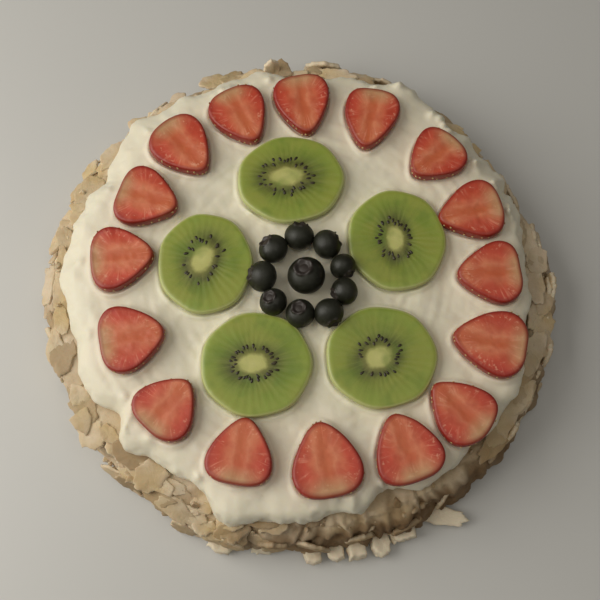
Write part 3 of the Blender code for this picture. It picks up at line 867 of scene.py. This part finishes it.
def plates_surface():
    """All the broken plates of the crust."""
    draw = random.Random(SHARD_SEED)
    plates = []
    for number, shard in enumerate(shard_places(draw)):
        azimuth, reach, height, length, width, *lean = shard
        corners = np.array([draw.uniform(0.74, 1.14) for _ in range(SHARD_SIDES)])
        thickness = draw.uniform(*SHARD_THICKNESS)
        bend = draw.uniform(-0.9, 0.9)
        tone = toasting_and_shade(azimuth, number)
        # Tips that reach far out get painted light: pale all over, as thicker blocks
        if reach > PALE_REACH:
            corners = 0.97 * BLOCK_CORNERS
            thickness = 1.4 * thickness
            tone = LIT_TONE
        if reach > LONG_REACH:
            corners = np.ones(len(BLOCK_CORNERS))
            width = 1.2 * width
        surface = plate(corners, length, width, thickness, bend, number, tone)
        plates.append(place_shard(surface, azimuth, reach, height, *lean))
    return joined(plates)


def toasting_and_shade(azimuth, number):
    """How brown a plate is, 0 to 1: browned by baking unevenly from plate to
    plate, less on the pale sides, and with painted shade added on the near side."""
    uneven = 0.78 * ((0.618 * number) % 1.0) ** 1.5 * (1.0 - lobes(azimuth, PALE_SIDE))
    return min(1.0, float(uneven + 0.60 * lobes(azimuth, SHADED_PLATE_SIDE)))


def flakes_surface():
    """Thin snapped flakes that cover the ledge and the wall like scales, each
    lying along the profile's slope, a little lifted at one end."""
    draw = random.Random(FLAKE_SEED)
    profile = crust_profile(PROFILE_POINTS)
    slope = np.gradient(profile, axis=0)
    fall = np.degrees(np.arctan2(-slope[:, 1], slope[:, 0]))
    flakes = []
    for count, start, sweep, first, last in FLAKE_ROWS:
        for index in range(count):
            azimuth = start + sweep * (index + draw.uniform(0.0, 1.0)) / count
            spot = draw.randint(first, last)
            radius, height = profile[spot]
            length, width = draw.uniform(8.0, 13.5), draw.uniform(11.0, 25.0)
            corners = np.array([draw.uniform(0.62, 1.2) for _ in range(SHARD_SIDES)])
            number = FIRST_FLAKE + len(flakes)
            surface = plate(corners, length, width, draw.uniform(1.2, 2.1), draw.uniform(-1.2, 0.3),
                            number, toasting_and_shade(azimuth, number), columns=40)
            reach = wall_radius(azimuth, radius, height) + draw.uniform(-1.6, -0.2)
            tilt = 180.0 - fall[spot] + draw.uniform(-8, 6)
            flakes.append(place_shard(
                surface, azimuth, reach - lobes(azimuth, NOTCHES), height + draw.uniform(-0.5, 0.6),
                tilt, draw.uniform(-14, 14), draw.uniform(-9, 9)))
    return joined(flakes)


def crumbs_surface():
    """Small flakes and crumbs that cling to the wall, the ledge and the foot,
    and blocks over the tips at the near foot, pale all over with painted light."""
    draw = random.Random(CRUMB_SEED)
    profile = crust_profile(PROFILE_POINTS)
    crumbs = []
    for number in range(CRUMB_COUNT):
        azimuth = draw.uniform(0.0, 360.0)
        radius, height = profile[draw.randint(14, 56)]
        size = draw.uniform(1.6, 5.0)
        corners = np.array([draw.uniform(0.6, 1.15) for _ in range(CRUMB_SIDES)])
        surface = plate(corners, size, size * draw.uniform(0.6, 1.0), size * draw.uniform(0.25, 0.45),
                        0.0, number, toasting_and_shade(azimuth, number), columns=15)
        reach = wall_radius(azimuth, radius, height) + draw.uniform(0.0, 1.1)
        crumbs.append(place_shard(
            surface, azimuth, reach - lobes(azimuth, NOTCHES), height, draw.uniform(-60, 100),
            draw.uniform(-90, 90), draw.uniform(-60, 60)))
    # Blocks over the near tips, pale all over with painted light
    for azimuth, reach, width in FRONT_TIPS:
        corners = BLOCK_CORNERS * [draw.uniform(0.82, 1.1) for _ in BLOCK_CORNERS]
        surface = plate(corners, draw.uniform(9.0, 13.0), draw.uniform(1.0, 1.3) * width,
                        draw.uniform(4.0, 5.6), draw.uniform(-0.8, 0.4), int(reach * 10), LIT_TONE, columns=32)
        crumbs.append(place_shard(
            surface, azimuth, reach + draw.uniform(-1.2, 0.3), TIP_HEIGHT + 1.0, draw.uniform(4, 22),
            draw.uniform(-16, 16), draw.uniform(-14, 14)))
    return joined(crumbs)


# Fruit outlines

def strawberry_outline(length, width, notch):
    """Egg with a pointed tip at +X: x = L/2 cos t, y = W/2 sin t
    (1 - 0.42 cos t), with a soft notch at the stalk end."""
    def outline(turn):
        away = (math.pi - np.abs((turn + math.pi) % math.tau - math.pi)) / 0.45
        x = 0.5 * length * np.cos(turn) + notch * np.exp(-away * away)
        return x, 0.5 * width * np.sin(turn) * (1.0 - 0.42 * np.cos(turn)) / 1.09
    return outline


def kiwi_outline(size_x, size_y, flats_turn):
    """Ellipse slightly flattened where the peel was cut away."""
    def outline(turn):
        ripple = 1.0 + 0.012 * np.cos(KIWI_FLATS * turn + math.radians(flats_turn))
        return 0.5 * size_x * ripple * np.cos(turn), 0.5 * size_y * ripple * np.sin(turn)
    return outline


def edge_distance(x, y, outline):
    """Distance outside an outline round the origin, less than 0 inside."""
    turn = np.linspace(-math.pi, math.pi, 721)
    edge_x, edge_y = outline(turn)
    angle = np.arctan2(edge_y, edge_x)
    order = np.argsort(angle)
    reach = np.interp(np.arctan2(y, x), angle[order], np.hypot(edge_x, edge_y)[order], period=math.tau)
    return np.hypot(x, y) - reach


def node_middle(name):
    """Middle and size of a node in millimetres."""
    low, high = (np.array(corner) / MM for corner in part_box(name))
    return 0.5 * (low + high) + MIDDLE, high - low


def strawberry_layout():
    """Each slice as (node, x, y, facing in degrees, outline, length, width)."""
    layout = []
    for number, (azimuth, distance, length, width, turn) in enumerate(STRAWBERRIES, 1):
        x, y, _ = cylinder_points(azimuth, distance, 0.0)
        notch = 0.6 + 0.25 * (number % 4)
        outline = strawberry_outline(length, width, notch)
        node = f"strawberry_slice_{number:02d}"
        layout.append((node, x, y, azimuth + 180.0 + turn, outline, length, width))
    return layout


def kiwi_layout():
    """Each slice as (node, x, y, outline, core)."""
    layout = []
    for number, (flats_turn, *core) in enumerate(KIWI_CORES, 1):
        name = f"kiwi_slice_{number}"
        middle, size = node_middle(name)
        layout.append((name, middle[0], middle[1], kiwi_outline(size[0], size[1], flats_turn), core))
    return layout


def blueberry_layout():
    """Each berry as (node, x, y, diameter, tilt, lean)."""
    layout = []
    for number, (diameter, tilt, lean) in enumerate(BLUEBERRIES, 1):
        name = f"blueberry_{number:02d}"
        middle, _ = node_middle(name)
        layout.append((name, middle[0], middle[1], diameter, tilt, lean))
    return layout


# Cream

def cream_edge(azimuth, height):
    """Radius of the cream's edge: mean, bulges and the scallops that the
    spatula left."""
    angle = np.radians(azimuth)
    scallop = sum(depth * np.sin(count * angle + turn * height) for count, depth, turn in SCALLOPS)
    return CREAM_RADIUS + lobes(azimuth, CREAM_LOBES) + scallop


def tufts(points):
    """Small peaks along the edge, most of them at the upper right, each
    height * exp(-(distance / width)^2)."""
    draw = random.Random(TUFT_SEED)
    lift = np.zeros(points.shape[:-1])
    spots = [draw.uniform(8, 66) for _ in range(TUFT_COUNT)]
    spots += [draw.uniform(66, 368) for _ in range(TUFT_COUNT)]
    for azimuth in spots:
        reach = cream_edge(azimuth, CREAM_TOP) - draw.uniform(1.0, 6.5)
        x, y, _ = cylinder_points(azimuth, reach, 0.0)
        width, height = draw.uniform(1.2, 2.8), draw.uniform(0.5, 2.1)
        height = height * (1.0 + lobes(azimuth, CREAM_CRAGS))
        lift += height * np.exp(-((points[..., 0] - x) ** 2 + (points[..., 1] - y) ** 2) / width ** 2)
    return lift


def cream_relief(points):
    """Height to add to the cream's top and its pink and green stains: soft
    swells, spatula ridges that run round, and a lip pressed up round each
    fruit, which lies in a flat bed."""
    x, y = points[..., 0], points[..., 1]
    radius = np.hypot(x, y)
    azimuth = np.arctan2(y, x)
    sweep = np.stack([radius / 2.6, 30.0 * np.cos(azimuth) / 9.0, 30.0 * np.sin(azimuth) / 9.0], -1)
    relief = 0.6 * noise(points, 30.0, 61) + 0.6 * fractal(points, 11.0, 62) + 0.32 * noise(sweep, 1.0, 65)
    press = 0.55 + 0.45 * noise(points, 7.0, 66)
    strawberry_gaps = [edge_distance(*along_and_across(x - cx, y - cy, facing), outline)
                       for _, cx, cy, facing, outline, _, _ in strawberry_layout()]
    kiwi_gaps = [edge_distance(x - cx, y - cy, outline) for _, cx, cy, outline, _ in kiwi_layout()]
    berry_gaps = [np.hypot(x - cx, y - cy) - 0.36 * diameter
                  for _, cx, cy, diameter, _, _ in blueberry_layout()]
    bed = np.zeros(x.shape)
    lip = np.zeros(x.shape)
    for gaps, settings in (
            (strawberry_gaps, STRAWBERRY_BED), (kiwi_gaps, KIWI_BED), (berry_gaps, BLUEBERRY_BED)):
        reach, fade, height, away, width = settings
        for gap in gaps:
            bed = np.maximum(bed, 1.0 - smooth((gap + reach) / fade))
            lip = np.maximum(lip, height * np.exp(-(((gap - away) / width) ** 2)))
    pink = np.exp(-np.maximum(np.min(strawberry_gaps, axis=0), 0.0) / 1.6)
    green = np.exp(-np.maximum(np.min(kiwi_gaps, axis=0), 0.0) / 1.8)
    height = relief * (1.0 - bed) + 1.75 * lip * press
    return height, 0.32 * pink * press, 0.34 * green * press


def cream_surface(columns=720, top_rows=96, edge_rows=26):
    """Spread cream: rings from the middle to the edge, over the rounded
    edge, which droops where it hangs over the crust, and back underneath."""
    azimuth = ring_angles(columns)[None, :]
    corners = [
        (14.0, CREAM_TOP), (10.0, CREAM_TOP), (5.0, CREAM_TOP - 0.6), (2.2, CREAM_TOP - 2.1),
        (0.6, CREAM_TOP - 4.7), (0.0, CREAM_TOP - 8.0), (0.8, CREAM_TOP - 10.4),
        (CREAM_FOOT_INSET, CRUST_TOP + GAP),
    ]
    edge_path = round_path(corners, edge_rows)
    inset, height = (edge_path[:, None, axis] for axis in (0, 1))
    share = (np.linspace(0.01, 1.0, top_rows, endpoint=False) ** 0.8)[:, None]
    radius = np.concatenate([share * (cream_edge(azimuth, CREAM_TOP) - inset[0]),
                             cream_edge(azimuth, height) - inset])
    height = np.concatenate([np.full((top_rows, 1), CREAM_TOP), height])
    rings = cylinder_points(azimuth, radius, height)
    lift, pink, green = cream_relief(rings * [1.0, 1.0, 0.0])
    lift = lift + tufts(rings)
    side = smooth((CREAM_TOP - height) / 4.0)
    low = smooth((height - CRUST_TOP) / 2.5)
    ragged = 0.8 * fractal(rings, 6.5, 71) + 0.35 * noise(rings, 2.6, 74)
    ragged = ragged * (1.0 + lobes(azimuth, CREAM_CRAGS))
    outward = cylinder_points(azimuth, 1.0, 0.0)
    smear = lobes(azimuth, CREAM_SMEAR) * smooth((CREAM_TOP - 1.5 - height) / 7.5)
    smear = smear * (1.0 + 0.45 * noise(rings, 7.0, 77))
    rings = rings + outward * (side * low * (ragged + 0.5 * lift) + smear)[..., None]
    droop = side * lobes(azimuth, CREAM_DROOP) * smooth((CREAM_TOP - height) / 9.0)
    rings[..., 2] += (1.0 - side) * lift - droop
    under = [rings[-1:] * [part, part, 1.0] for part in (0.93, 0.6, 0.2)]
    rings = np.concatenate([rings, *under])
    rings[-len(under):, :, 2] = CRUST_TOP + GAP
    pad = ((0, len(under)), (0, 0))
    return shell(rings, (0.0, 0.0, CREAM_TOP), (0.0, 0.0, CRUST_TOP + GAP),
                 pink=np.pad(pink, pad), green=np.pad(green, pad))


# Fruit

def slice_rings(outline, thickness, face_relief, columns=132, face_rows=24, side_rows=16):
    """Rings of a slice: the cut face from the middle out, the rounded edge,
    and the flat underside. Returns rings, their turns, and share: 0 in the
    middle, 1 at the edge of the face and up to 2 down the side."""
    side = round_path([(0.90, 1.0), (0.955, 0.995), (0.985, 0.87), (1.0, 0.55), (0.985, 0.25),
                       (0.95, 0.05), (0.90, 0.0)], side_rows)
    inner = np.linspace(0.03, 0.90, face_rows, endpoint=False)
    under = np.array([0.8, 0.5, 0.2])
    share = np.concatenate([inner, side[:, 0], under])[:, None]
    level = np.concatenate([np.ones(face_rows), side[:, 1], np.zeros(len(under))])[:, None]
    turn = ring_turns(columns)
    x, y = outline(turn)
    rings = combined(x * share, y * share, level * thickness)
    rings[..., 2] += face_relief(rings[..., 0], rings[..., 1]) * smooth((level - 0.6) / 0.4)
    share = share + np.where(level > 0.93, 0.0, 1.0 - level)
    return rings, *np.broadcast_arrays(turn, share)


def set_down(points, x, y, facing=0.0):
    """Points turned to face an azimuth, on the cream at x, y."""
    return points @ turn_matrix("Z", facing).T + [x, y, FRUIT_LEVEL]


def strawberry_slice(number, facing, x, y, outline, length, width):
    """One slice with its cut face up: the face sinks a little along the
    heart, and the skin bulges round the edge."""
    seed = 80 + number

    def face_relief(local_x, local_y):
        spot = combined(local_x, local_y, 5.0 * number)
        heart = np.exp(-((local_y / 2.6) ** 2) - ((local_x + 2.0) / (0.33 * length)) ** 2)
        return 0.16 * noise(spot, 5.0, seed) + 0.08 * noise(spot, 1.8, seed + 1) - 0.35 * heart

    rings, turn, share = slice_rings(outline, STRAWBERRY_THICKNESS, face_relief)
    wobble = 1.0 + 0.030 * noise(rings * [1.0, 1.0, 0.0] + 11.0 * number, 9.0, seed + 2)
    marks = {
        "spot": combined(rings[..., 0] / length + 0.5, rings[..., 1] / (0.5 * width), share),
        "ray": combined(np.cos(turn), np.sin(turn), 0.37 * number),
    }
    rings = rings * combined(wobble, wobble, 1.0)
    surface = shell(rings, rings[0].mean(0), rings[-1].mean(0), **marks)
    surface["points"] = set_down(surface["points"], x, y, facing)
    return surface


def grain(length, width, thickness, columns=10, rows=5):
    """Small seed: an ellipsoid drawn to a point at +X."""
    turn = ring_turns(columns)
    polar = (np.arange(1, rows + 1) * math.pi / (rows + 1))[:, None]
    x = np.sin(polar) * np.cos(turn)
    y = np.sin(polar) * np.sin(turn) * (1.0 - 0.45 * x)
    rings = combined(0.5 * length * x, 0.5 * width * y, 0.5 * thickness * np.cos(polar))
    return shell(rings, (0.0, 0.0, 0.5 * thickness), (0.0, 0.0, -0.5 * thickness))


def strawberry_seeds():
    """Pale seeds set in the skin round every slice's edge."""
    draw = random.Random(STRAWBERRY_DRAWS)
    seeds = []
    for _, x, y, facing, outline, _, _ in strawberry_layout():
        for index in range(STRAWBERRY_SEEDS):
            turn = math.tau * (index + draw.uniform(0.2, 0.8)) / STRAWBERRY_SEEDS
            level = draw.choice((0.74, 0.55, 0.34)) + draw.uniform(-0.05, 0.05)
            if abs(turn - math.pi) < STALK_ANGLE:
                continue
            edge = np.array([outline(turn + step) for step in (-0.01, 0.0, 0.01)])
            tangent = edge[2] - edge[0]
            out = math.degrees(math.atan2(-tangent[0], tangent[1]))
            share = 1.0 - 0.05 * ((level - 0.55) / 0.45) ** 2
            lean = turn_matrix("Z", out) @ turn_matrix("Y", 90.0) @ turn_matrix("Z", draw.uniform(-25, 25))
            seed = grain(1.5, 0.95, 0.5)
            local = seed["points"] @ lean.T + [*(edge[1] * share), level * STRAWBERRY_THICKNESS]
            seed["points"] = set_down(local, x, y, facing)
            seeds.append(seed)
    return joined(seeds)


def core_distance(x, y, core):
    """How far out from the core, 1 at its edge: an ellipse's radius share."""
    place_x, place_y, half_length, half_width, azimuth = core
    along, across = along_and_across(x - place_x, y - place_y, azimuth)
    return np.hypot(along / half_length, across / half_width)


def kiwi_slice(number, x, y, outline, core):
    """One round slice: the core stands a little proud, the seed chambers
    sink, and fine ribs run out from the core."""
    seed = 120 + number

    def face_relief(local_x, local_y):
        out = core_distance(local_x, local_y, core)
        angle = np.arctan2(local_y - core[1], local_x - core[0])
        ribs = np.cos(KIWI_RIBS * angle + 2.0 * noise(combined(local_x, local_y, 0.0), 6.0, seed))
        chamber = np.exp(-(((out - 1.7) / 0.5) ** 2))
        uneven = noise(combined(local_x, local_y, 3.0 * number), 6.0, seed + 1)
        return 0.12 * np.exp(-(out ** 4)) - 0.16 * chamber + 0.05 * ribs * smooth(out - 0.9) + 0.12 * uneven

    rings, _, share = slice_rings(outline, KIWI_THICKNESS, face_relief)
    angle = np.arctan2(rings[..., 1] - core[1], rings[..., 0] - core[0])
    marks = {
        "share": share,
        "ray": combined(np.cos(angle), np.sin(angle), 0.61 * number),
        "core": core_distance(rings[..., 0], rings[..., 1], core),
    }
    surface = shell(rings, rings[0].mean(0), rings[-1].mean(0), **marks)
    surface["points"] = set_down(surface["points"], x, y)
    return surface


def kiwi_seeds():
    """Dark seeds lying in the face round each core, pointed outwards."""
    draw = random.Random(KIWI_DRAWS)
    seeds = []
    for _, x, y, _, core in kiwi_layout():
        place_x, place_y, half_length, half_width, azimuth = core
        for index in range(KIWI_SEEDS):
            if draw.random() < KIWI_EMPTY:
                continue
            turn = math.tau * (index + draw.uniform(0.1, 0.9)) / KIWI_SEEDS
            ring = draw.choice((1.25, 1.5, 1.5, 1.8)) + draw.uniform(-0.08, 0.08)
            along = KIWI_SPREAD * ring * (half_length * 0.75 + 1.6) * math.cos(turn)
            across = KIWI_SPREAD * ring * (half_width * 0.9 + 1.4) * math.sin(turn)
            local = turn_matrix("Z", azimuth) @ [along, across, 0.0]
            out = math.degrees(math.atan2(local[1], local[0]))
            seed = grain(draw.uniform(2.0, 2.6), draw.uniform(1.0, 1.3), 0.8)
            lean = turn_matrix("Z", out + 180.0 + draw.uniform(-22, 22))
            local = local + [place_x, place_y, KIWI_THICKNESS - draw.uniform(0.0, 0.3)]
            seed["points"] = set_down(seed["points"] @ lean.T + local, x, y)
            seeds.append(seed)
    return joined(seeds)


def blueberry(number, x, y, diameter, tilt, lean, columns=90, rows=60):
    """Squashed ball with a crown at its pole: a hollow, and round it a lip
    of five pointed flaps, radius * (1 + lip - hollow)."""
    turn = ring_turns(columns)
    polar = (math.pi * (np.arange(1, rows + 1) / (rows + 1)) ** 1.15)[:, None]
    flaps = 0.55 + 0.45 * np.cos(5.0 * turn + number)
    lip = 0.11 * flaps * np.exp(-(((polar - 0.46) / 0.085) ** 2))
    hollow = 0.17 * smooth((0.44 - polar) / 0.12)
    out = 1.0 + lip - hollow
    flat = out * np.sin(polar)
    rings = 0.5 * diameter * combined(flat * np.cos(turn), flat * np.sin(turn),
                                      out * np.cos(polar) * BLUEBERRY_SQUASH)
    rings = rings * (1.0 + 0.012 * noise(rings + 13.0 * number, 4.0, 141))[..., None]
    surface = shell(rings, rings[0].mean(0), rings[-1].mean(0), crown=smooth((0.60 - polar) / 0.12))
    facing = turn_matrix("Z", lean) @ turn_matrix("Y", tilt) @ turn_matrix("Z", -lean)
    points = surface["points"] @ facing.T
    surface["points"] = set_down(points, x, y) - [0.0, 0.0, points[:, 2].min()]
    return surface


# The part

def build_part():
    """Make every piece of the pavlova."""
    # The brown colour of each finish also paints shade on the near side, the palest also paints light on
    # the tips that are pale all over, and the darkest also paints shade in recesses
    body = meringue_material(
        "meringue_body", face=(0.68, 0.55, 0.39), patch=(0.60, 0.44, 0.23), edge=(0.72, 0.61, 0.46),
        crack=(0.21, 0.125, 0.055), toast_and_shade=(0.185, 0.108, 0.044))
    flakes = meringue_material(
        "meringue_plates", face=(0.72, 0.59, 0.43), patch=(0.63, 0.465, 0.225), edge=(0.83, 0.72, 0.54),
        crack=(0.34, 0.22, 0.10), toast_and_shade=(0.29, 0.185, 0.085))
    piece("crust_body", crust_surface(), body, "meringue", "crust")
    piece("crust_plates", plates_surface(), flakes, "meringue", "crust")
    piece("crust_flakes", flakes_surface(), flakes, "meringue", "crust")
    piece("crust_crumbs", crumbs_surface(), flakes, "meringue", "crust")
    piece("cream_spread", cream_surface(), cream_material(), "cream", "cream")
    flesh = strawberry_material()
    for number, (node, x, y, facing, outline, length, width) in enumerate(strawberry_layout(), 1):
        surface = strawberry_slice(number, facing, x, y, outline, length, width)
        piece(f"strawberry_{number:02d}", surface, flesh, "strawberry", node)
    pips = seed_material("strawberry_pips", (0.55, 0.38, 0.16), (0.66, 0.50, 0.25), 0.45)
    piece("strawberry_pips", strawberry_seeds(), pips, "strawberry")
    flesh = kiwi_material()
    for number, (node, x, y, outline, core) in enumerate(kiwi_layout(), 1):
        piece(f"kiwi_{number}", kiwi_slice(number, x, y, outline, core), flesh, "kiwi", node)
    pips = seed_material("kiwi_pips", (0.024, 0.019, 0.009), (0.06, 0.046, 0.02), 0.35)
    piece("kiwi_pips", kiwi_seeds(), pips, "kiwi")
    skin = blueberry_material()
    for number, (node, x, y, diameter, tilt, lean) in enumerate(blueberry_layout(), 1):
        surface = blueberry(number, x, y, diameter, tilt, lean)
        piece(f"berry_{number:02d}", surface, skin, "blueberry", node)


# Stage, light and camera

def build_stage():
    """Plain pale floor at the part's underside."""
    mesh = bpy.data.meshes.new("floor")
    half, level = 4.0, -0.0002
    corners = [(x * half, y * half, level) for x, y in ((-1, -1), (1, -1), (1, 1), (-1, 1))]
    mesh.from_pydata(corners, [], [(0, 1, 2, 3)])
    material, _, inputs, _ = new_material("floor_paint", 0.42)
    inputs["Base Color"].default_value = (0.60, 0.595, 0.575, 1.0)
    mesh.materials.append(material)
    floor = bpy.data.objects.new("floor", mesh)
    bpy.context.scene.collection.objects.link(floor)


def aim_at(item, target, roll=0.0):
    """Turn a camera or light towards a point, with +Y up in its picture,
    then roll it."""
    away = (item.location - Vector(target)).normalized()
    right = Vector((0.0, 1.0, 0.0)).cross(away).normalized()
    facing = Matrix((right, away.cross(right), away)).transposed()
    item.rotation_euler = (facing @ Matrix.Rotation(math.radians(roll), 3, "Z")).to_euler()


def area_light(name, place, target, size, power, color):
    """Soft square light aimed at a point, in metres."""
    light = bpy.data.lights.new(name, "AREA")
    light.size = size
    light.energy = power
    light.color = color
    item = bpy.data.objects.new(name, light)
    item.location = place
    bpy.context.scene.collection.objects.link(item)
    aim_at(item, target)


def build_light():
    """Soft window light from the upper left, a weak fill and a dim room."""
    area_light("window", (-0.60, 0.04, 0.50), (0.0, 0.0, 0.02), size=0.7, power=5.0,
               color=(1.0, 0.97, 0.90))
    area_light("ceiling", (0.1, -0.1, 1.3), (0.0, 0.0, 0.0), size=1.2, power=2.9,
               color=(1.0, 0.96, 0.86))
    world = bpy.data.worlds.new("room")
    world.use_nodes = True
    background = world.node_tree.nodes["Background"].inputs
    background["Color"].default_value = (1.0, 0.96, 0.90, 1.0)
    background["Strength"].default_value = 0.11
    bpy.context.scene.world = world


def build_camera():
    """Camera at the photograph's viewpoint."""
    camera = bpy.data.cameras.new("camera")
    camera.lens = CAMERA_LENS
    camera.sensor_width = 36.0
    camera.clip_start = 0.01
    item = bpy.data.objects.new("camera", camera)
    item.location = (CAMERA_PLACE - MIDDLE) * MM
    bpy.context.scene.collection.objects.link(item)
    bpy.context.view_layer.update()
    aim_at(item, (CAMERA_AIM - MIDDLE) * MM, CAMERA_ROLL)
    bpy.context.scene.camera = item


build_part()
build_stage()
build_light()
build_camera()
bpy.context.scene.view_settings.view_transform = "Standard"

bpy.context.view_layer.update()
